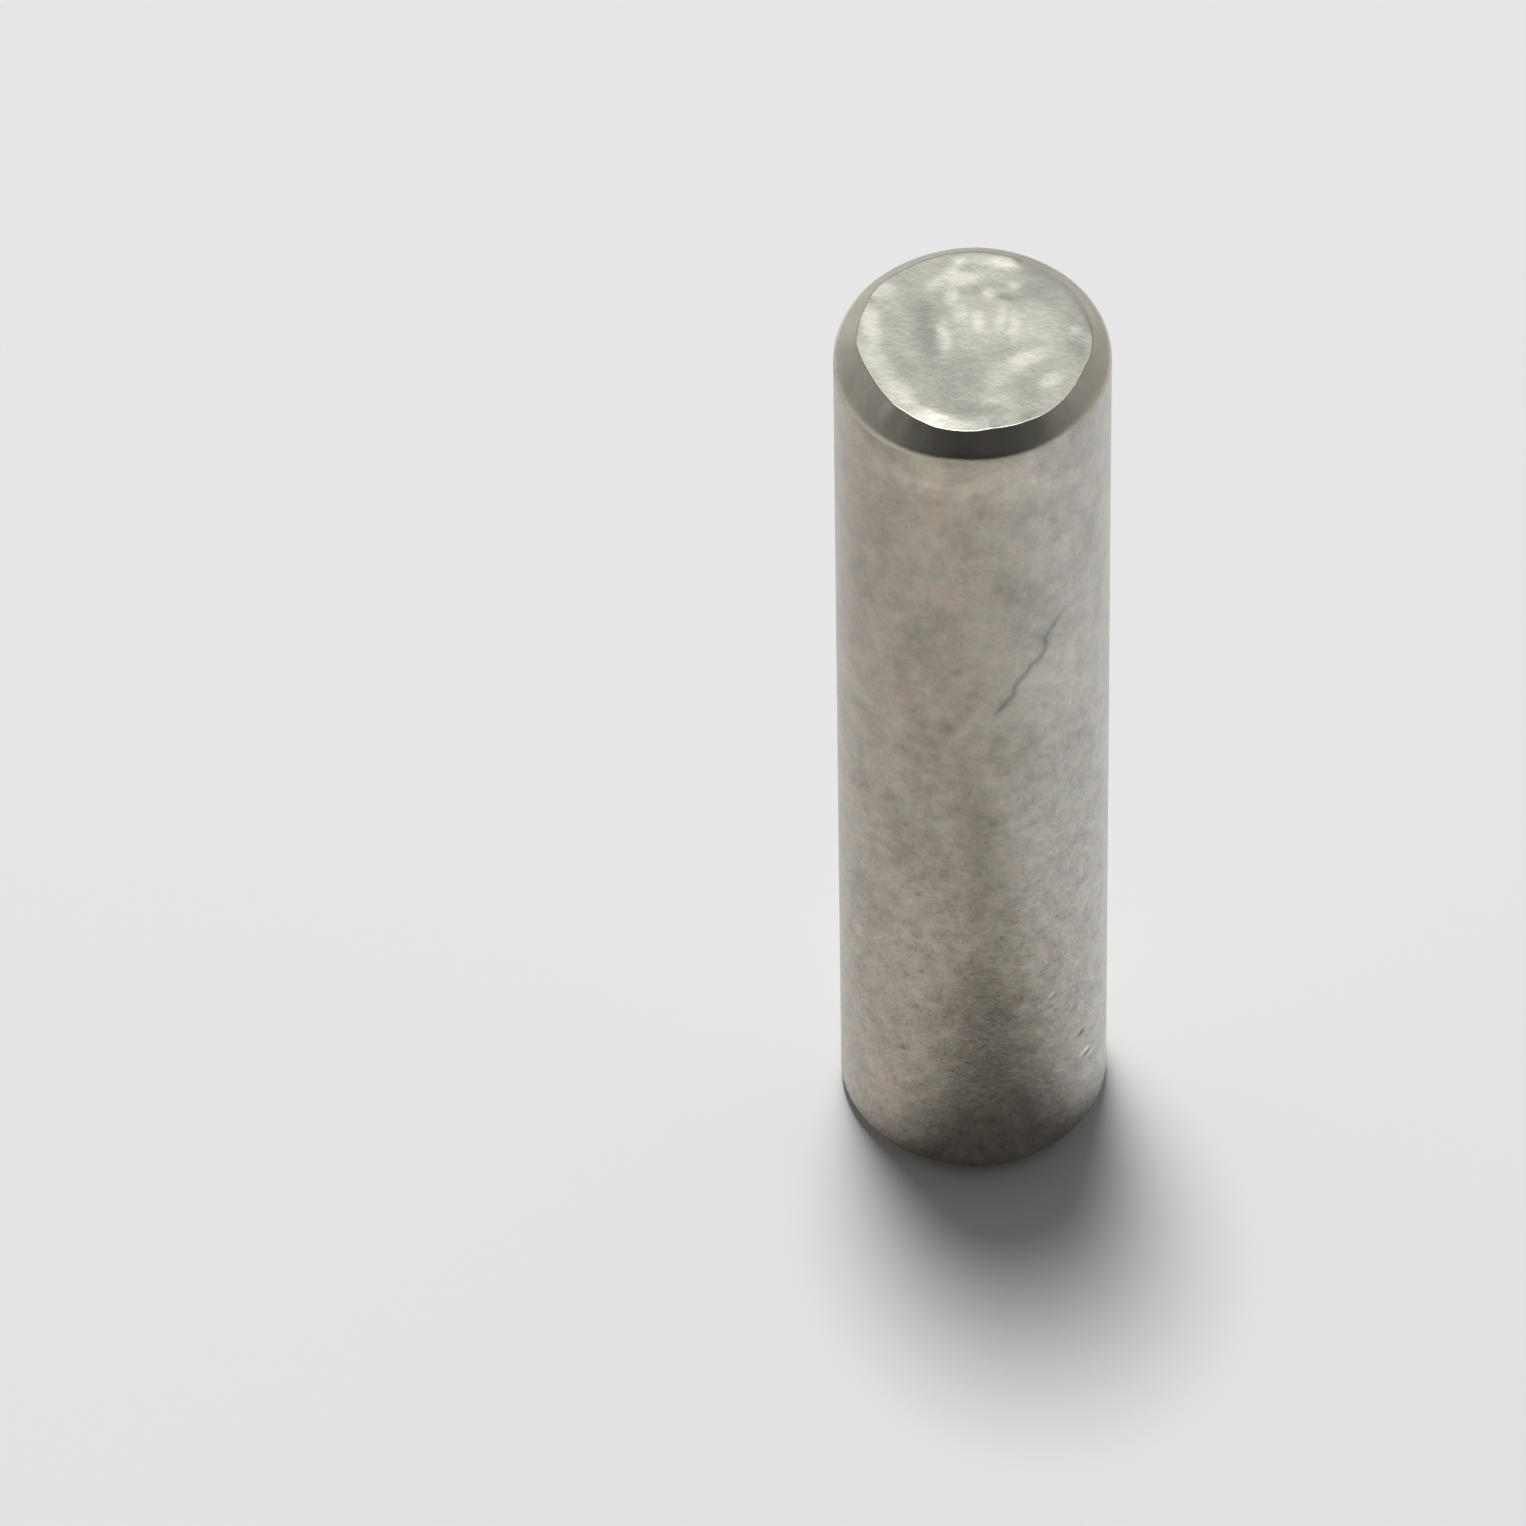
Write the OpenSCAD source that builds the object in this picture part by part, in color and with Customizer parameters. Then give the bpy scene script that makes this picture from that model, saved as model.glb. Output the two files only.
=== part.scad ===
// Plain dowel pin: a ground cylinder with a chamfer on both ends, turned from one bar.
// It stands on one end face. The origin is the centre of that face and +Z runs along the pin.

/* [Ground body] */
// Diameter of the ground cylinder, the size that the pin is made to fit
pin_d = 6; // [4:0.5:12]
// Length over the two end faces
pin_l = 25; // [12:1:60]

/* [Ends] */
// Width of each chamfer, measured inwards from the ground cylinder
chamfer_w = 0.5; // [0.3:0.05:0.8]
// Height of each chamfer, measured along the pin from the end face
chamfer_h = 0.36; // [0.26:0.02:0.6]
// Radius of the tumbled edge between the ground cylinder and a chamfer
shoulder_r = 0.14; // [0.04:0.02:0.2]
// Radius of the tumbled edge between a chamfer and its end face
rim_r = 0.1; // [0.04:0.02:0.2]

/* [Smoothness] */
// Sides that a full turn is drawn with
turn_sides = 180; // [60:12:360]

/* [Hidden] */
$fn = turn_sides;
steel = [0.66, 0.65, 0.62];

pin_r = pin_d / 2;
face_r = pin_r - chamfer_w;

// The half section's corners, in order from the lower face's centre to the upper one's,
// as [distance from the axis, height, radius that rounds the corner]
corners = [
    [0, 0, 0],
    [face_r, 0, rim_r],
    [pin_r, chamfer_h, shoulder_r],
    [pin_r, pin_l - chamfer_h, shoulder_r],
    [face_r, pin_l, rim_r],
    [0, pin_l, 0],
];
rounded = [1 : len(corners) - 2];

function point(i) = [corners[i][0], corners[i][1]];
function radius(i) = corners[i][2];
function towards(i, j) = (point(j) - point(i)) / norm(point(j) - point(i));
function half_angle(i) = acos(towards(i, i - 1) * towards(i, i + 1)) / 2;

// Direction from corner i into the section, halfway between its two sides
function inwards(i) =
    let (sum = towards(i, i - 1) + towards(i, i + 1))
    sum / norm(sum);

// What lies beyond the arc that rounds corner i, out to a square well past the corner
module corner_waste(i) {
    r = radius(i);
    centre = point(i) + inwards(i) * r / sin(half_angle(i));
    chord_distance = r * sin(half_angle(i));
    translate(centre) rotate(atan2(-inwards(i)[1], -inwards(i)[0])) difference() {
        translate([chord_distance, -2 * r]) square(4 * r);
        circle(r = r);
    }
}

module half_section() {
    difference() {
        polygon([for (i = [0 : len(corners) - 1]) point(i)]);
        for (i = rounded) corner_waste(i);
    }
}

module dowel_pin() {
    color(steel) rotate_extrude() half_section();
}

dowel_pin();
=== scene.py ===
import math

import bpy
from mathutils import Matrix, Vector, noise


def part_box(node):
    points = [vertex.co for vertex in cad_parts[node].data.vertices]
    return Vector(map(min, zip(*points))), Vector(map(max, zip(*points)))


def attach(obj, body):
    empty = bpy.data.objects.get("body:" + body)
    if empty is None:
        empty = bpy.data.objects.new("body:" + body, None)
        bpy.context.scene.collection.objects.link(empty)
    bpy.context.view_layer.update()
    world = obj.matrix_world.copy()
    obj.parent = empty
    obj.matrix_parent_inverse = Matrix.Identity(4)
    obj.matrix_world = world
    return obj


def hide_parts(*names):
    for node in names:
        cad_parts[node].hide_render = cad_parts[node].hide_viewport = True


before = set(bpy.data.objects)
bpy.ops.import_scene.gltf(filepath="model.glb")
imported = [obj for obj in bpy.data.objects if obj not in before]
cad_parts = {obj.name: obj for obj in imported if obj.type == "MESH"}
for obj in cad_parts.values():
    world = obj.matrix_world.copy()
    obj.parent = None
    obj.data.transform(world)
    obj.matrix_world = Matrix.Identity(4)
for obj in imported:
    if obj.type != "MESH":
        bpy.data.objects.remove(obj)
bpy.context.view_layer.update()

# Sizes of the pin in millimetres. Its length and radius are the frame's.
MM = 0.001
pin_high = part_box("dowel_pin")[1]
pin_r = pin_high.x / MM
pin_l = pin_high.z / MM
chamfer_w = 0.5
face_r = pin_r - chamfer_w
# Rounding of the edges between the body and its chamfers, and of the rims inside the chamfers
upper_shoulder_r = 0.34
lower_shoulder_r = 0.16
rim_blend = 0.004
# The rows of the body start at this height, just under the upper end
body_top = pin_l - 0.9

# How finely the pin is meshed: degrees between columns, in front where the marks are and behind
front_from = 195.0
front_to = 345.0
front_step = 0.75
back_step = 2.1
shoulder_steps = 7
# Rows of the upper face lie this share of the way out to its rim apart
face_share = 0.025
# Rows across that rim, as distances from it, and on the chamfer, as shares of the way down it
rim_rows = (-0.05, -0.03, -0.018, -0.01, -0.004, 0.0, 0.004, 0.01, 0.018, 0.03)
chamfer_rows = (0.2, 0.4, 0.6, 0.8)
# Steps between the rows down the body, finer at its marks: step, and the height where it ends
body_steps = [
    (0.50, 19.05), (0.07, 15.50), (0.09, 14.30), (0.30, 12.80), (0.09, 12.40), (0.50, 8.20), (0.05, 7.55),
    (0.25, 7.00), (0.08, 6.50), (0.20, 5.90), (0.045, 4.95), (0.08, 4.50), (0.15, 4.20), (0.07, 3.85),
    (0.035, 2.30), (0.25, 1.20), (0.09, 0.60),
]
# Rows of the lower end: shares of its chamfer, reach and step across its rim, step and end on its face
foot_chamfer_rows = (0.75, 0.5, 0.25)
foot_rim_reach = 0.03
foot_rim_step = 0.006
foot_face_step = 0.22
foot_face_end = 0.2

# The photograph's camera, found from the outline of the pin
photo_px = 1526
focal_px = 16500
sensor_mm = 36.0
camera_back = 233.8425
camera_up = 291.7934
camera_yaw = 1.1401
camera_down = 50.2193
camera_roll = -0.9663


# Shapes that wear and painted light and shade take on

# How suddenly a mark ends: marks that something has struck, and stains and patches of painted shade and
# light
struck_edge = 1.6
stain_and_painted_light_edge = 1.0


def bell(distance, width):
    """1 in the middle of a mark, falling to 0.37 at its width."""
    return math.exp(-((distance / width) ** 2))


def ease(low, high, value):
    """0 below low, 1 above high, and a smooth step in between."""
    t = min(max((value - low) / (high - low), 0.0), 1.0)
    return t * t * (3.0 - 2.0 * t)


def lower_of(a, b, blend):
    """The smaller of two heights, with the edge between them rounded."""
    gap = abs(a - b) / blend
    return min(a, b) - blend * math.log1p(math.exp(-gap))


def slope(degrees):
    """Rise over run of a lean in degrees."""
    return math.tan(math.radians(degrees))


def turned(offset, degrees):
    """An offset in the plane, seen from axes turned by some degrees."""
    c = math.cos(math.radians(degrees))
    s = math.sin(math.radians(degrees))
    return Vector((offset.x * c + offset.y * s, offset.y * c - offset.x * s))


def oval(offset, across, along, degrees, edge=struck_edge):
    """1 over an oval mark, falling off round it."""
    u, v = turned(offset, degrees)
    return math.exp(-(((u / across) ** 2 + (v / along) ** 2) ** edge))


def ripple(x, y, layer, width):
    """Smooth unevenness between about -1 and 1, with hollows this wide, of its own on each layer."""
    return noise.noise(Vector((x, y, layer)) / width)


def flat(r, azimuth):
    """The place in the plane at a radius and azimuth."""
    a = math.radians(azimuth)
    return Vector((r * math.cos(a), r * math.sin(a)))


def point_at(r, azimuth, height):
    """The point at a radius, azimuth and height."""
    return Vector((*flat(r, azimuth), height))


def polar(x, y):
    """Radius and azimuth of a place in the plane."""
    return math.hypot(x, y), math.degrees(math.atan2(y, x)) % 360.0


def by_azimuth(places, azimuth):
    """The value at an azimuth, on a smooth curve through the places where it is given."""
    before = (places[-2][0] - 360.0, places[-2][1])
    after = (places[1][0] + 360.0, places[1][1])
    around = [before, *places, after]
    i = 1
    while azimuth > around[i + 1][0]:
        i += 1
    (a0, v0), (a1, v1), (a2, v2), (a3, v3) = around[i - 1:i + 3]
    run = a2 - a1
    t = (azimuth - a1) / run
    leave = (v2 - v0) / (a2 - a0) * run
    arrive = (v3 - v1) / (a3 - a1) * run
    return v1 + (v2 - v1) * ease(0.0, 1.0, t) + t * (1.0 - t) * (leave * (1.0 - t) - arrive * t)


# Upper end. Its rim has worn to these radii, as azimuth in degrees and radius in millimetres
rim_places = [
    (0, 2.58), (20, 2.62), (45, 2.63), (60, 2.60), (95, 2.60), (125, 2.57), (142, 2.60), (155, 2.53),
    (180, 2.49), (192, 2.41), (202, 2.37), (215, 2.38), (228, 2.43), (240, 2.455), (252, 2.50), (271, 2.505),
    (278, 2.47), (284, 2.48), (294, 2.51), (309, 2.55), (328, 2.52), (342, 2.51), (354, 2.57), (360, 2.58),
]
# It wavers by this much besides, over this length
rim_waver = 0.012
rim_waver_length = 0.3
rim_layer = 91.0
# Its chamfer is uneven and reaches this far down the side, by azimuth
drop_places = [
    (0, 0.35), (25, 0.31), (60, 0.26), (85, 0.24), (110, 0.30), (140, 0.35), (175, 0.40), (192, 0.48),
    (204, 0.55), (228, 0.56), (240, 0.53), (252, 0.49), (264, 0.45), (300, 0.45), (330, 0.42), (345, 0.40),
    (360, 0.35),
]
# The chamfer is painted brighter than its steel elsewhere by these shares, by azimuth: painted light in
# place of the reflections it catches
chamfer_painted_light = [
    (0, 0.08), (20, 0.24), (32, 0.30), (60, 0.19), (80, 0.08), (115, 0.06), (140, 0.10), (152, 0.40),
    (168, 0.38), (180, 0.12), (200, 0.02), (215, 0.08), (234, 0.33), (250, 0.12), (268, 0.0), (290, 0.04),
    (308, 0.16), (325, 0.06), (360, 0.08),
]
# Its look sets in between these distances past the rim, and fades over this height at the shoulder
rim_change = (-0.02, 0.03)
shoulder_change = 0.12

# The face lies this far below its nominal plane, with shallow hollows: layer, depth and width
face_sunk = 0.010
face_hollows = [
    (3.1, 0.0010, 0.6),
    (7.7, 0.0003, 0.22),
]
# The rim is hammered over at the front. The band narrows between two azimuths and ends in a step
roll_width = 0.38
roll_narrows = 0.12
roll_narrowing = (254.0, 270.0)
roll_fade = (202.0, 238.0)
roll_end = 278.5
roll_step = 1.0
roll_onset = 0.08
# Degrees that the band leans outwards: everywhere, more about its middle, and more near its end
roll_lean = 1.25
roll_more = 3.2
roll_middle = 251.0
roll_middle_width = 11.0
roll_last = 0.4
roll_last_rise = (256.0, 270.0)
# A bruise bends the back right down, past a line that is turned about this point, and right of this x
bruise_from = Vector((1.19, 1.44))
bruise_turn = 50.0
bruise_left = 0.90
# It leans by this many degrees, starts this far ahead of the line, and sets in over this width
bruise_lean = 0.9
bruise_lead = 0.15
bruise_onset = 0.3
# It shows between these distances past the x and the line, and rounds and blurs the rim there
bruise_left_fade = (-0.05, 0.25)
bruise_line_fade = (-0.10, 0.55)
bruise_blend = 0.048
bruise_blur = 0.10
# It is darker by this much, and has a painted highlight about a ring just inside the rim, against the dark
# reflection of the rounded edge
bruise_darker = 0.06
bruise_rim_highlight = 0.44
bruise_rim_in = 0.05
bruise_rim_width = 0.16
# Marks of the hammer: x, y, half width across and along, turn, lean towards the front, lighter by
marks = [
    (-0.61, 0.18, 0.16, 0.44, 5, 0.3, 0.42),
    (-0.98, 0.31, 0.30, 0.75, 4, 0.0, -0.28),
    (-1.15, 1.00, 0.42, 0.28, 0, 0.0, -0.14),
    (-2.20, 0.60, 0.22, 0.66, 9, 0.3, 0.52),
    (-2.12, -0.44, 0.24, 0.52, 24, 0.0, 0.32),
    (-1.60, -1.37, 0.22, 0.55, 38, 0.2, 0.26),
    (-1.44, -0.75, 0.22, 0.50, 25, 0.0, -0.14),
    (-1.96, 1.50, 0.28, 0.22, 0, 0.0, 0.40),
    (-1.75, 1.12, 0.25, 0.20, 0, 0.0, 0.10),
    (-0.36, 2.20, 0.14, 0.32, -37, 0.0, 0.45),
    (-0.25, 1.84, 0.42, 0.22, 0, 0.3, 0.56),
    (-0.46, 1.36, 0.14, 0.30, 0, 0.0, 0.48),
    (-0.80, 1.66, 0.20, 0.20, 0, 0.0, 0.30),
    (0.30, 2.35, 0.80, 0.15, -3, 0.0, 0.38),
    (0.78, 2.27, 0.38, 0.16, -8, 0.3, 0.48),
    (0.35, 1.95, 0.45, 0.22, 0, 0.0, 0.22),
    (0.36, 1.40, 0.15, 0.18, 0, 0.4, 0.32),
    (0.78, 1.31, 0.28, 0.11, -4, 0.0, -0.28),
    (-0.07, 1.20, 0.16, 0.14, 0, 0.0, 0.10),
    (0.07, 1.48, 0.12, 0.12, 0, 0.0, -0.10),
    (1.25, 1.55, 0.24, 0.44, 0, 0.0, -0.05),
    (0.90, 1.63, 0.17, 0.14, 0, 0.0, 0.28),
    (0.45, 0.50, 0.85, 0.60, 0, 0.0, 0.18),
    (-0.25, 0.85, 0.17, 0.32, 0, 0.2, 0.36),
    (0.13, 0.66, 0.16, 0.32, 12, 0.2, 0.38),
    (0.64, 0.72, 0.11, 0.42, -8, 0.2, 0.24),
    (0.90, 0.44, 0.11, 0.46, 0, 0.2, 0.24),
    (1.45, 0.50, 0.55, 0.55, 0, 0.0, 0.16),
    (1.14, -0.46, 0.54, 0.25, 33, 0.3, 0.44),
    (1.70, -1.07, 0.34, 0.17, 52, 0.2, 0.34),
    (2.23, 0.36, 0.12, 0.12, 0, 0.3, 0.22),
    (2.22, -0.14, 0.15, 0.26, 0, 0.0, -0.17),
    (1.22, -1.32, 0.26, 0.32, 0, 0.0, -0.17),
    (-0.45, -1.00, 0.80, 0.62, 0, 0.0, -0.16),
    (-0.65, -1.62, 0.60, 0.28, 0, 0.0, -0.10),
    (0.48, -1.05, 0.30, 0.26, 0, 0.0, 0.26),
    (0.46, -1.58, 0.36, 0.24, 0, 0.0, 0.20),
    (0.10, -1.90, 0.60, 0.20, 4, 0.0, -0.24),
    (1.22, -2.08, 0.26, 0.14, 30, 0.0, -0.24),
    (2.36, -0.50, 0.13, 0.38, 0, 0.0, -0.12),
    (0.50, -2.30, 0.22, 0.16, 10, 0.0, -0.14),
]
# Places wander by this much before the marks are laid on them, which frays their edges
fray = 0.07
fray_length = 0.3
fray_layers = (31.0, 57.0)
# Chips out of the rim: azimuth, radius, half width, depth, darker by. They reach this far in and out
chips = [
    (149.6, 2.56, 0.10, 0.008, 0.10),
    (66.5, 2.60, 0.07, 0.020, 0.50),
    (282.0, 2.46, 0.12, 0.004, 0.32),
]
chip_reach = 0.09


def rim_at(azimuth):
    """Radius at which the upper face meets the chamfer."""
    waver = rim_waver * ripple(*flat(face_r, azimuth), rim_layer, rim_waver_length)
    return by_azimuth(rim_places, azimuth) + waver


def frayed(x, y):
    """The place where the marks are looked up for a place on the upper face."""
    right, back = (fray * ripple(x, y, layer, fray_length) for layer in fray_layers)
    return Vector((x + right, y + back))


def rolled(r, azimuth):
    """How much of the hammered band lies at an azimuth, and how far past its inner edge a radius is."""
    not_over = 1.0 - ease(roll_end - roll_step, roll_end + roll_step, azimuth)
    width = roll_width - roll_narrows * ease(*roll_narrowing, azimuth)
    return ease(*roll_fade, azimuth) * not_over, max(r - rim_at(azimuth) + width, 0.0)


def past_bruise_line(x, y):
    """How far a place lies past the line where the bruise starts."""
    return turned(Vector((x, y)) - bruise_from, bruise_turn).x


def bruised(x, y):
    """0 on the clean side of the bruise, rising to 1 well inside it."""
    return ease(*bruise_left_fade, x - bruise_left) * ease(*bruise_line_fade, past_bruise_line(x, y))


def struck_height(x, y):
    """Height of the worn upper face over its nominal plane, all of it below."""
    place = frayed(x, y)
    height = -face_sunk
    for cx, cy, across, along, turn, lean, _ in marks:
        height += slope(lean) * (y - cy) * oval(place - Vector((cx, cy)), across, along, turn)
    for layer, depth, width in face_hollows:
        height += depth * ripple(x, y, layer, width)
    r, azimuth = polar(x, y)
    share, over = rolled(r, azimuth)
    outwards = roll_lean + roll_more * bell(azimuth - roll_middle, roll_middle_width)
    outwards += roll_last * ease(*roll_last_rise, azimuth)
    height -= share * slope(outwards) * over * ease(0.0, roll_onset, over)
    into = min(past_bruise_line(x, y) + bruise_lead, x - bruise_left)
    height -= slope(bruise_lean) * max(into, 0.0) * ease(0.0, bruise_onset, into)
    return min(height, 0.0)


def chip_share(r, azimuth, at, out, wide):
    """How much of a chip in the rim lies at a radius and azimuth, from 0 to 1."""
    off = math.radians((azimuth - at + 180.0) % 360.0 - 180.0) * out
    return bell(off, wide) * bell(r - out, chip_reach)


def end_tone(x, y):
    """How much lighter the marks and chips have left a place on the upper face."""
    place = frayed(x, y)
    tone = 0.0
    for cx, cy, across, along, turn, _, lighter in marks:
        tone += lighter * oval(place - Vector((cx, cy)), across, along, turn)
    for at, out, wide, _, darker in chips:
        tone -= darker * chip_share(*polar(x, y), at, out, wide)
    return tone


def chamfer_height(r, rim, edge):
    """Height of a chamfer at a radius, from the rim's point of the section to the shoulder's."""
    return edge.y + (edge.x - r) * (rim.y - edge.y) / (edge.x - rim.x)


def upper_rim(azimuth):
    """The rim's point in the section at an azimuth."""
    r = rim_at(azimuth)
    return Vector((r, pin_l + struck_height(*flat(r, azimuth))))


def upper_end(r, azimuth, rim, edge):
    """Point of the upper end at a radius and azimuth, out to the shoulder."""
    x, y = flat(r, azimuth)
    face = pin_l + struck_height(x, y)
    height = lower_of(face, chamfer_height(r, rim, edge), rim_blend + bruise_blend * bruised(x, y))
    for at, out, wide, deep, _ in chips:
        height -= deep * chip_share(r, azimuth, at, out, wide)
    return Vector((x, y, height))


# Lower end. Its chamfer reaches this far up the side, by azimuth
foot_places = [
    (0, 0.36), (180, 0.36), (225, 0.34), (250, 0.28), (280, 0.25), (310, 0.27), (335, 0.34), (360, 0.36),
]
# Its face lies this far above its nominal plane on average, uneven by this much in hollows this wide
foot_clear = 0.006
foot_uneven = 0.005
foot_hollow = 0.6
foot_layer = 21.0


def lower_end(r, azimuth, edge):
    """Point of the lower end, which stands on the floor. The section is worked out upside down."""
    x, y = flat(r, azimuth)
    chamfer = chamfer_height(r, Vector((face_r, pin_l)), edge)
    face = pin_l - foot_clear + foot_uneven * ripple(x, y, foot_layer, foot_hollow)
    return Vector((x, y, pin_l - lower_of(face, chamfer, rim_blend)))


# Ground body: the hairline, as azimuth in degrees and height in millimetres
hairline = [
    (320.0, 18.85), (311.5, 18.82), (306.7, 18.59), (301.5, 18.16), (301.7, 17.80), (298.8, 17.58),
    (295.5, 17.49), (291.7, 17.16), (288.0, 16.95), (287.0, 16.63), (284.3, 16.44), (280.7, 16.16),
    (279.0, 15.99),
]
# Its first two stretches and its last aren't whole: how much of it is there at their start and end
hairline_faint = {0: (0.0, 0.5), 1: (0.5, 0.9), len(hairline) - 2: (1.0, 0.2)}
hairline_width = 0.078
hairline_depth = 0.008
hairline_tone = -0.40
hairline_waver = 0.012
hairline_waver_length = 0.15
hairline_layer = 5.0
# It is looked for only between these azimuths, and this far above and below its ends
hairline_turns = (270.0, 330.0)
hairline_margin = 0.3
# Nicks, with painted glints: azimuth, height, half width, half length, turn, depth, lighter by, a painted
# glint where it is positive
nicks_and_glints = [
    (323.8, 3.56, 0.080, 0.15, -83, 0.010, -0.60),
    (326.4, 2.76, 0.075, 0.21, -97, 0.008, 0.75),
    (328.1, 2.62, 0.065, 0.18, -94, 0.008, -0.60),
    (331.4, 2.46, 0.070, 0.16, -98, 0.000, 0.45),
    (305.3, 5.72, 0.050, 0.12, -53, 0.006, 0.35),
    (305.9, 5.59, 0.050, 0.11, -64, 0.000, -0.35),
    (305.2, 5.33, 0.070, 0.07, 0, 0.004, -0.25),
    (305.0, 5.12, 0.130, 0.10, 0, 0.006, 0.18),
    (319.0, 4.74, 0.070, 0.10, -40, 0.006, -0.22),
    (321.9, 4.52, 0.050, 0.08, 0, 0.000, 0.20),
    (329.8, 7.75, 0.070, 0.11, -20, 0.008, 0.30),
    (330.8, 7.70, 0.050, 0.09, -20, 0.000, -0.25),
    (346.4, 6.83, 0.060, 0.13, 0, 0.008, -0.15),
    (210.8, 6.82, 0.100, 0.11, 0, 0.006, 0.18),
    (209.4, 0.97, 0.160, 0.18, 0, 0.008, 0.12),
]
# Nothing is left of a nick beyond this many times its half width and length together
nick_reach = 2.0
# Stains and worn places, and broad patches of painted shade and painted light: azimuth, height, half width,
# half length, darker by
stains_and_painted_light = [
    (297.6, 0.52, 0.09, 0.08, 0.35),
    (238.3, 4.01, 0.09, 0.10, 0.45),
    (240.4, 6.67, 0.10, 0.10, 0.28),
    (260.2, 7.97, 0.07, 0.09, 0.32),
    (234.1, 12.62, 0.11, 0.10, 0.26),
    (260.1, 15.60, 0.16, 0.15, 0.26),
    (269.0, 16.30, 0.11, 0.12, 0.18),
    (279.5, 15.17, 0.17, 0.16, 0.14),
    (274.2, 14.60, 0.18, 0.15, 0.11),
    (291.7, 14.70, 0.09, 0.10, 0.22),
    (301.5, 15.93, 0.09, 0.11, 0.15),
    (262.0, 17.52, 0.14, 0.14, 0.09),
    # The broad patches from here on are painted shade and painted light in place of reflections: darker
    # where the pin's shadow and surroundings are reflected, darker just under the upper shoulder and lighter
    # below it
    (275.0, 12.00, 0.75, 4.40, 0.14),
    (276.0, 5.40, 0.60, 2.00, 0.18),
    (252.0, 13.50, 0.55, 2.80, 0.06),
    (302.0, 3.80, 0.85, 3.00, 0.14),
    (274.0, 2.20, 0.50, 1.60, -0.10),
    (232.0, 20.00, 0.80, 5.00, 0.06),
    (238.0, 24.15, 0.80, 0.26, 0.26),
    (275.0, 24.32, 1.60, 0.20, 0.13),
    (255.0, 23.90, 0.80, 0.55, -0.14),
    (267.0, 23.85, 1.70, 0.60, -0.34),
    (306.0, 23.10, 0.80, 0.80, -0.10),
    (297.5, 22.52, 0.75, 0.20, 0.16),
    (314.5, 22.57, 0.22, 0.20, 0.12),
    (291.0, 20.10, 0.60, 1.20, 0.12),
    (309.0, 17.40, 0.60, 1.00, -0.14),
    (273.0, 11.90, 0.60, 1.60, 0.12),
    (268.0, 6.40, 0.90, 1.30, 0.12),
    (256.0, 2.00, 0.60, 1.30, 0.13),
    (238.0, 5.10, 0.50, 0.80, 0.10),
    (239.0, 10.90, 0.50, 1.20, 0.12),
    (324.0, 23.90, 0.70, 0.80, 0.12),
]
# Points further in than this from the body's radius belong to an end
skin = 0.05


def along_body(azimuth, height):
    """A place on the body, unrolled: distance round it and height."""
    return Vector((math.radians(azimuth) * pin_r, height))


def hairline_share(spot):
    """How much of the hairline lies at a spot of the unrolled body, from 0 to 1."""
    places = [along_body(*place) for place in hairline]
    waver = hairline_waver * ripple(*spot, hairline_layer, hairline_waver_length)
    most = 0.0
    for i, (start, end) in enumerate(zip(places, places[1:])):
        run = end - start
        t = (spot - start).dot(run) / run.length_squared
        t = min(max(t, 0.0), 1.0)
        first, last = hairline_faint.get(i, (1.0, 1.0))
        distance = (spot - start - run * t).length + waver
        most = max(most, (first + (last - first) * t) * bell(distance, hairline_width))
    return most


def body_wear_and_painted_light(azimuth, height):
    """Depth of the wear at a place on the body, and how much lighter it is painted, by its hairline, nicks
    and stains and by painted glints, shade and light.
    """
    spot = along_body(azimuth, height)
    depth = 0.0
    tone = 0.0
    turn_from, turn_to = hairline_turns
    low = hairline[-1][1] - hairline_margin
    high = hairline[0][1] + hairline_margin
    if low < height < high and turn_from < azimuth < turn_to:
        share = hairline_share(spot)
        depth += hairline_depth * share
        tone += hairline_tone * share
    # Nicks, with their painted glints
    for at, level, wide, long, turn, deep, lighter in nicks_and_glints:
        off = spot - along_body(at, level)
        if off.length < nick_reach * (long + wide):
            share = oval(off, wide, long, turn)
            depth += deep * share
            tone += lighter * share
    # Stains, and patches of painted shade and painted light
    for at, level, wide, long, darker in stains_and_painted_light:
        tone -= darker * oval(spot - along_body(at, level), wide, long, 0, stain_and_painted_light_edge)
    return depth, tone


# Mesh of the pin, turned row by row from the middle of the upper face to that of the lower

def arc_points(before, corner, after, radius, steps):
    """Points of the arc that rounds a corner of the section."""
    back = (before - corner).normalized()
    on = (after - corner).normalized()
    half = back.angle(on) / 2.0
    reach = radius / math.tan(half)
    centre = corner + (back + on).normalized() * (radius / math.sin(half))
    start = corner + back * reach - centre
    end = corner + on * reach - centre
    sweep = start.angle_signed(end)
    return [centre + Matrix.Rotation(-sweep * i / steps, 2) @ start for i in range(steps + 1)]


def spaced(start, end, step):
    """Values from start towards end, about a step apart, without the last."""
    count = max(round(abs(end - start) / step), 1)
    return [start + (end - start) * i / count for i in range(count)]


def shoulder(rim, drop, radius):
    """Section of the rounded shoulder between a chamfer and the body, from the top down."""
    corner = Vector((pin_r, pin_l - drop))
    return arc_points(rim, corner, Vector((pin_r, 0.0)), radius, shoulder_steps)


def upper_column(azimuth):
    """Points of the upper end at an azimuth, from near its middle out and down to the body."""
    rim = upper_rim(azimuth)
    arc = shoulder(rim, by_azimuth(drop_places, azimuth), upper_shoulder_r)
    inner = rim.x + rim_rows[0]
    outer = rim.x + rim_rows[-1]
    radii = [share * inner for share in spaced(face_share, 1.0, face_share)]
    radii += [rim.x + step for step in rim_rows]
    radii += [outer + share * (arc[0].x - outer) for share in chamfer_rows]
    return [upper_end(r, azimuth, rim, arc[0]) for r in radii] + [point_at(r, azimuth, z) for r, z in arc]


def body_heights():
    """Heights of the rows down the body."""
    heights = []
    high = body_top
    for step, low in body_steps:
        heights += spaced(high, low, step)
        high = low
    return heights


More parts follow.
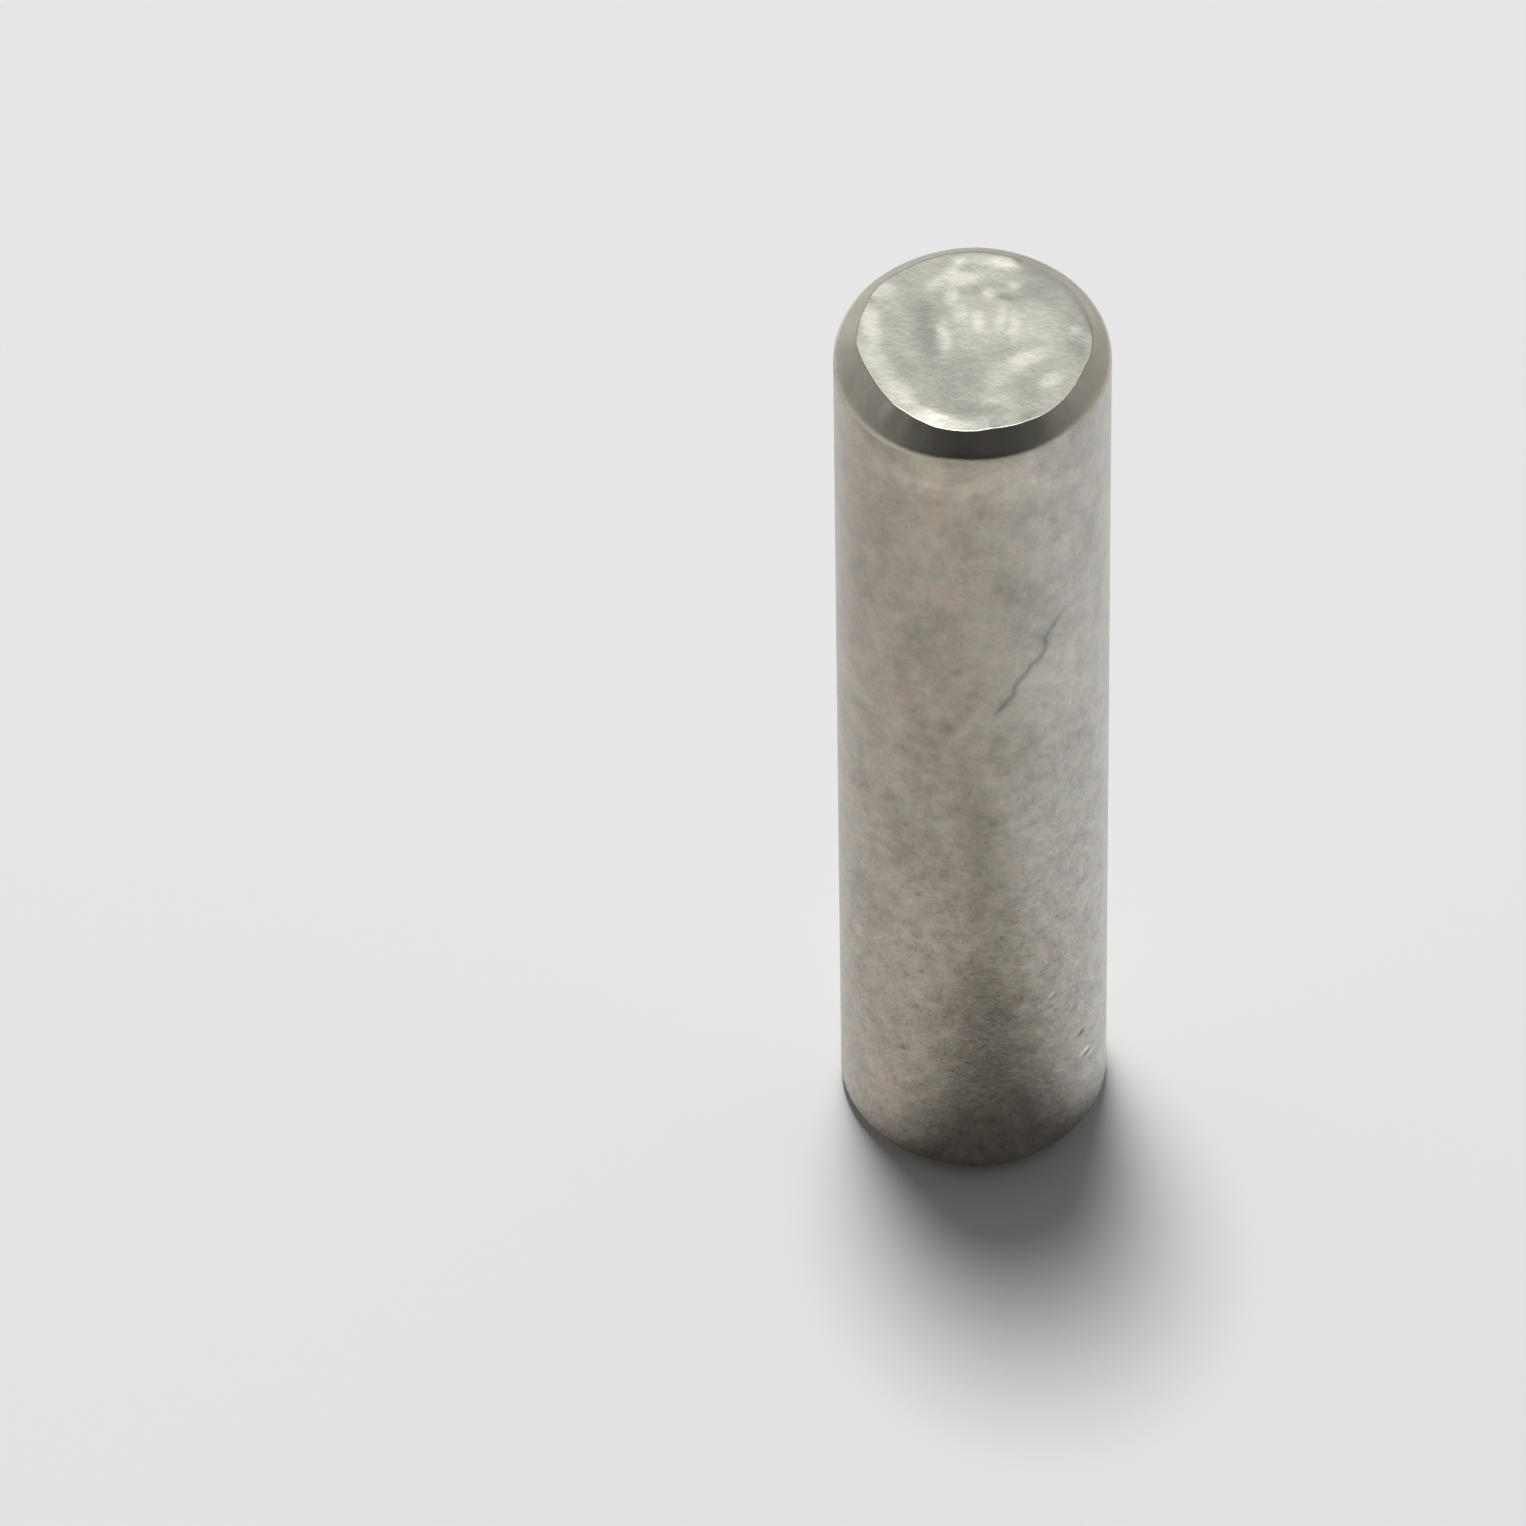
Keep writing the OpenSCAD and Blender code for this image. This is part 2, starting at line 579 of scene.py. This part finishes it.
def lower_column(azimuth):
    """Points of the lower end at an azimuth, from the body down and in to near its middle."""
    arc = shoulder(Vector((face_r, pin_l)), by_azimuth(foot_places, azimuth), lower_shoulder_r)
    outer = face_r + foot_rim_reach
    inner = face_r - foot_rim_reach
    radii = [outer + share * (arc[0].x - outer) for share in foot_chamfer_rows]
    radii += spaced(outer, inner, foot_rim_step) + spaced(inner, foot_face_end, foot_face_step)
    rounded = [point_at(r, azimuth, pin_l - z) for r, z in reversed(arc)]
    return rounded + [lower_end(r, azimuth, arc[0]) for r in radii]


def pin_rows():
    """Rows of points round the pin, from near the middle of the upper face to that of the lower."""
    front = spaced(front_from, front_to, front_step)
    behind = spaced(front_to, front_from + 360.0, back_step)
    azimuths = [a % 360.0 for a in front + behind]
    upper = zip(*[upper_column(a) for a in azimuths])
    body = [[point_at(pin_r - body_wear_and_painted_light(a, z)[0], a, z) for a in azimuths] for z in body_heights()]
    lower = zip(*[lower_column(a) for a in azimuths])
    return [*upper, *body, *lower]


def turned_mesh(name, rows, top, bottom):
    """A closed mesh through rows of points, with a fan at each end."""
    points = [top]
    for row in rows:
        points += row
    points.append(bottom)
    faces = []
    count = len(rows[0])
    for k in range(count):
        after = (k + 1) % count
        faces.append((0, 1 + k, 1 + after))
        for i in range(len(rows) - 1):
            here = 1 + i * count
            below = here + count
            faces.append((here + k, below + k, below + after, here + after))
        last = 1 + (len(rows) - 1) * count
        faces.append((last + k, len(points) - 1, last + after))
    mesh = bpy.data.meshes.new(name)
    mesh.from_pydata([point * MM for point in points], [], faces)
    mesh.validate()
    mesh.shade_smooth()
    return mesh


# Node trees written as sums

class Signal:
    """One output of a node tree. Arithmetic on signals adds Math nodes."""

    def __init__(self, tree, socket=None):
        self.tree = tree
        self.socket = socket

    def node(self, kind, settings=None, inputs=None, output=0):
        """Adds a node, sets its settings and then the values or links of its sockets."""
        made = self.tree.nodes.new(kind)
        for name, value in (settings or {}).items():
            setattr(made, name, value)
        for name, value in (inputs or {}).items():
            if isinstance(value, Signal):
                self.tree.links.new(value.socket, made.inputs[name])
            else:
                made.inputs[name].default_value = value
        return Signal(self.tree, made.outputs[output])

    def math(self, operation, first, second):
        """A Math node of two signals or numbers."""
        return self.node("ShaderNodeMath", {"operation": operation}, {0: first, 1: second})

    def __add__(self, other):
        return self.math("ADD", self, other)

    def __radd__(self, other):
        return self.math("ADD", other, self)

    def __sub__(self, other):
        return self.math("SUBTRACT", self, other)

    def __rsub__(self, other):
        return self.math("SUBTRACT", other, self)

    def __mul__(self, other):
        return self.math("MULTIPLY", self, other)

    def __rmul__(self, other):
        return self.math("MULTIPLY", other, self)

    def step(self, low, high):
        """0 below low, 1 above high, and a smooth step in between."""
        return self.node(
            "ShaderNodeMapRange",
            {"interpolation_type": "SMOOTHSTEP"},
            {"Value": self, "From Min": low, "From Max": high},
        )

    def parts(self):
        """The three numbers of a place."""
        return [self.node("ShaderNodeSeparateXYZ", None, {0: self}, i) for i in range(3)]

    def times(self, other):
        """A place or a colour multiplied part by part by another."""
        return self.node("ShaderNodeVectorMath", {"operation": "MULTIPLY"}, {0: self, 1: other})

    def scaled(self, number):
        """A place or a colour with each part multiplied by the same number."""
        return self.node("ShaderNodeVectorMath", {"operation": "SCALE"}, {0: self, "Scale": number})

    def leaning(self, degrees, longer):
        """Places on which grain is drawn out along a line that leans forward from upright."""
        inputs = {"Vector": self, "Rotation": (math.radians(degrees), 0.0, 0.0), "Scale": (1.0, 1.0, longer)}
        return self.node("ShaderNodeMapping", {"vector_type": "TEXTURE"}, inputs)

    def grain(self, scale, detail=2.0, roughness=0.5):
        """Noise at these places, about 0.5 on average."""
        return self.node(
            "ShaderNodeTexNoise",
            None,
            {"Vector": self, "Scale": scale, "Detail": detail, "Roughness": roughness},
        )

    def tint(self, first, second):
        """A colour that goes from the first to the second as this signal goes from 0 to 1."""
        # The Mix node takes its two colours at sockets 6 and 7 and gives the mixed one at output 2
        return self.node("ShaderNodeMix", {"data_type": "RGBA"}, {0: self, 6: first, 7: second}, 2)

    def written(self, name):
        """A value that write_wear_and_painted_light has written on the mesh."""
        return self.node("ShaderNodeAttribute", {"attribute_name": name}, output="Fac")

    def feed(self, shader, name):
        """Links this signal to a socket of a shader."""
        self.tree.links.new(self.socket, shader.inputs[name])


def new_material(name):
    """A material with a Principled shader, and a signal to start its tree from."""
    material = bpy.data.materials.new(name)
    material.use_nodes = True
    tree = material.node_tree
    return material, tree.nodes["Principled BSDF"], Signal(tree)


# Finish of the steel: the body's left and front darkened as painted shade and its right lightened as painted
# light, the upper chamfer and face
shaded_steel = (0.387, 0.346, 0.291, 1.0)
lit_steel = (0.477, 0.462, 0.424, 1.0)
chamfer_steel = (0.495, 0.468, 0.405, 1.0)
face_steel = (0.398, 0.394, 0.352, 1.0)
warm_tint = (1.032, 0.986, 0.965, 1.0)
cool_tint = (0.974, 1.010, 1.0, 1.0)
# The painted shade gives way to the painted light between these two x
painted_shade_edge = (-0.5, 2.3)
# It gives way this much further right low down, where the pin's shadow is reflected: all of that below the
# first height, none above the second
painted_shade_shift = 0.9
painted_shade_shift_heights = (3.0, 13.0)
# What is different low down is all there below the first height and gone above the second
low_heights = (6.0, 20.0)
# The grain leans this many degrees forward from upright, and is this many times as long as wide
grain_lean = 39.7807
grain_longer = 1.5
# How strongly each kind of unevenness shows in the colour, and how much less or more low down
cloud_strength = 0.75
cloud_less_low = 0.25
mottle_strength = 1.05
mottle_more_low = 0.62
fleck_strength = 0.20
pit_strength = 0.20
blotch_strength = 0.38
chamfer_mottle_strength = 0.40
# Roughness: the body's, and what the clouds, the face and the chamfer add to it
body_roughness = 0.28
cloud_roughness = 0.10
face_roughness = 0.13
chamfer_roughness = -0.02
# Relief in metres, and the shares of it that are peel high up, more of it low down, and grinding rings
relief_depth = 0.000014
peel_share = 0.30
peel_more_low = 0.70
ring_share = 0.10


def ground_steel():
    """Hardened steel, ground all over and stained a little by handling, with painted shade and painted light
    on it as well.
    """
    material, shader, start = new_material("ground_steel")
    place = start.node("ShaderNodeTexCoord", output="Object").times((1.0 / MM, 1.0 / MM, 1.0 / MM))
    x, y, z = place.parts()
    tone = start.written("tone")
    on_chamfer = start.written("chamfered")
    on_face = start.written("faced")
    on_body = 1.0 - on_face - on_chamfer
    low_down = 1.0 - z.step(*low_heights)

    # Painted shade on the body's left and front and painted light on its right, the change moving right low
    # down
    shifted = x - painted_shade_shift * (1.0 - z.step(*painted_shade_shift_heights))
    steel = shifted.step(*painted_shade_edge).tint(shaded_steel, lit_steel)
    steel = on_chamfer.tint(steel, chamfer_steel)
    steel = on_face.tint(steel, face_steel)
    along_grain = place.leaning(grain_lean, grain_longer)
    hue = along_grain.grain(2.4, 4.0, 0.75).step(0.36, 0.64)
    hue = (hue * (1.0 - on_face) + 0.5 * on_face).tint(warm_tint, cool_tint)
    cloud = place.times((1.0, 1.0, 0.6)).grain(0.9, 3.0, 0.6) - 0.5
    mottle = along_grain.grain(2.2, 6.0, 0.85) - 0.5
    blotch = place.grain(2.6, 3.0, 0.6) - 0.5
    pits = along_grain.grain(8.0, 1.0).step(0.62, 0.72)
    flecks = along_grain.times((1.0, 1.0, -1.0)).grain(9.0, 1.0).step(0.64, 0.74)

    clouded = (cloud_strength - cloud_less_low * low_down) * cloud
    mottled = (mottle_strength + mottle_more_low * low_down) * mottle
    spotted = (fleck_strength * flecks - pit_strength * pits) * low_down
    body_shade = 1.0 + clouded + mottled + spotted
    face_shade = 1.0 + blotch_strength * blotch
    chamfer_shade = 1.0 + chamfer_mottle_strength * mottle
    shade = body_shade * on_body + face_shade * on_face + chamfer_shade * on_chamfer
    # The tone written on the mesh brings the wear and stains, and the painted glints, light and shade, into
    # the colour
    steel.times(hue).scaled(shade * (1.0 + tone)).feed(shader, "Base Color")
    rough = body_roughness + cloud_roughness * cloud + face_roughness * on_face
    rough = rough + chamfer_roughness * on_chamfer
    rough.feed(shader, "Roughness")
    shader.inputs["Metallic"].default_value = 1.0

    peel = place.grain(6.0, 4.0, 0.6)
    rings = place.times((0.4, 0.4, 22.0)).grain(1.0, 2.0)
    relief = peel * (peel_share + peel_more_low * low_down) + ring_share * rings * on_body
    bump = start.node(
        "ShaderNodeBump",
        None,
        {"Strength": 1.0, "Distance": relief_depth, "Height": relief},
    )
    bump.feed(shader, "Normal")
    return material


def pale_paper():
    """Matt white paper."""
    material, shader, _ = new_material("pale_paper")
    shader.inputs["Base Color"].default_value = (0.80, 0.80, 0.80, 1.0)
    shader.inputs["Roughness"].default_value = 0.9
    shader.inputs["Specular IOR Level"].default_value = 0.2
    return material


# Pieces

def write_wear_and_painted_light(mesh):
    """Writes at each vertex which part of the pin it is on and how much lighter it is painted, by wear and
    stains and by painted light and shade.
    """
    tones = mesh.attributes.new("tone", "FLOAT", "POINT").data
    faced = mesh.attributes.new("faced", "FLOAT", "POINT").data
    chamfered = mesh.attributes.new("chamfered", "FLOAT", "POINT").data
    change_in, change_out = rim_change
    for vertex in mesh.vertices:
        x, y, z = vertex.co / MM
        r, azimuth = polar(x, y)
        i = vertex.index
        if z > body_top:
            out = r - rim_at(azimuth)
            bent = bruised(x, y)
            past = ease(change_in - bruise_blur * bent, change_out + bruise_blur * bent, out)
            drop = by_azimuth(drop_places, azimuth)
            down = ease(drop, drop + shoulder_change, pin_l - z)
            faced[i].value = 1.0 - past
            chamfered[i].value = past * (1.0 - down)
            # Marks and chips on the face, and painted light on the chamfer
            tone = end_tone(x, y) * (1.0 - past) + by_azimuth(chamfer_painted_light, azimuth) * past
            # A painted highlight about the ring inside the bruised rim
            ring = bruise_rim_highlight * bell(out + bruise_rim_in, bruise_rim_width)
            tone += bent * (ring - bruise_darker)
            tones[i].value = tone * (1.0 - down) + body_wear_and_painted_light(azimuth, z)[1] * down
        elif r > pin_r - skin:
            tones[i].value = body_wear_and_painted_light(azimuth, z)[1]


def build_pin():
    """The dressed pin, one closed mesh that stands for the solid."""
    top = Vector((0.0, 0.0, pin_l + struck_height(0.0, 0.0)))
    mesh = turned_mesh("pin_steel", pin_rows(), top, Vector((0.0, 0.0, foot_clear)))
    write_wear_and_painted_light(mesh)
    piece = bpy.data.objects.new("pin_steel", mesh)
    bpy.context.scene.collection.objects.link(piece)
    mesh.materials.append(ground_steel())
    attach(piece, "root")
    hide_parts("dowel_pin")


def build_floor():
    """A square of paper, a hundredth of a millimetre under the pin."""
    reach = 1.2
    below = -0.00001
    mesh = bpy.data.meshes.new("floor")
    corners = [(-reach, -reach), (reach, -reach), (reach, reach), (-reach, reach)]
    mesh.from_pydata([(x, y, below) for x, y in corners], [], [(0, 1, 2, 3)])
    mesh.materials.append(pale_paper())
    floor = bpy.data.objects.new("floor", mesh)
    bpy.context.scene.collection.objects.link(floor)


def build_camera():
    """A long lens in front of the pin and above it, at the photograph's angle."""
    data = bpy.data.cameras.new("camera")
    data.sensor_width = sensor_mm
    data.lens = sensor_mm * focal_px / photo_px
    data.clip_start = 0.01
    data.clip_end = 10.0
    camera = bpy.data.objects.new("camera", data)
    bpy.context.scene.collection.objects.link(camera)
    camera.matrix_world = (
        Matrix.Translation(Vector((0.0, -camera_back, camera_up)) * MM)
        @ Matrix.Rotation(math.radians(camera_yaw), 4, "Z")
        @ Matrix.Rotation(math.radians(90.0 - camera_down), 4, "X")
        @ Matrix.Rotation(math.radians(camera_roll), 4, "Z")
    )
    bpy.context.scene.camera = camera


def build_light():
    """A soft box nearly overhead, a little behind the pin and to its left."""
    towards = Vector((-0.043, 0.187, 0.981)).normalized()
    away = 0.45
    data = bpy.data.lights.new("soft_box", "AREA")
    data.shape = "ELLIPSE"
    data.size = 0.075
    data.size_y = 0.120
    data.energy = 1.61
    light = bpy.data.objects.new("soft_box", data)
    bpy.context.scene.collection.objects.link(light)
    turn = towards.to_track_quat("Z", "Y").to_matrix().to_4x4()
    light.matrix_world = Matrix.Translation(towards * away) @ turn


def build_surroundings():
    """A room that is pale low down, darker overhead and darkest in front of the pin."""
    world = bpy.data.worlds.new("room")
    bpy.context.scene.world = world
    world.use_nodes = True
    tree = world.node_tree
    towards = Signal(tree).node("ShaderNodeTexCoord", output="Generated")
    side, back, height = towards.parts()
    overhead = 0.105
    darkest = 0.033
    walls = 0.48 * (1.0 - height.step(0.20, 0.95))
    skirting = 0.16 * (1.0 - height.step(0.0, 0.12))
    in_front = (-1.0 * back - 0.08 * side).step(-0.42, 0.97) * height.step(0.05, 0.13)
    level = (overhead + walls + skirting) * (1.0 - in_front) + darkest * in_front
    level = level * (1.0 - 0.04 * side)
    colour = towards.node("ShaderNodeCombineColor", None, {0: level, 1: level, 2: level})
    colour.feed(tree.nodes["Background"], "Color")


bpy.context.scene.view_settings.view_transform = "Standard"
build_camera()
build_floor()
build_light()
build_surroundings()
build_pin()
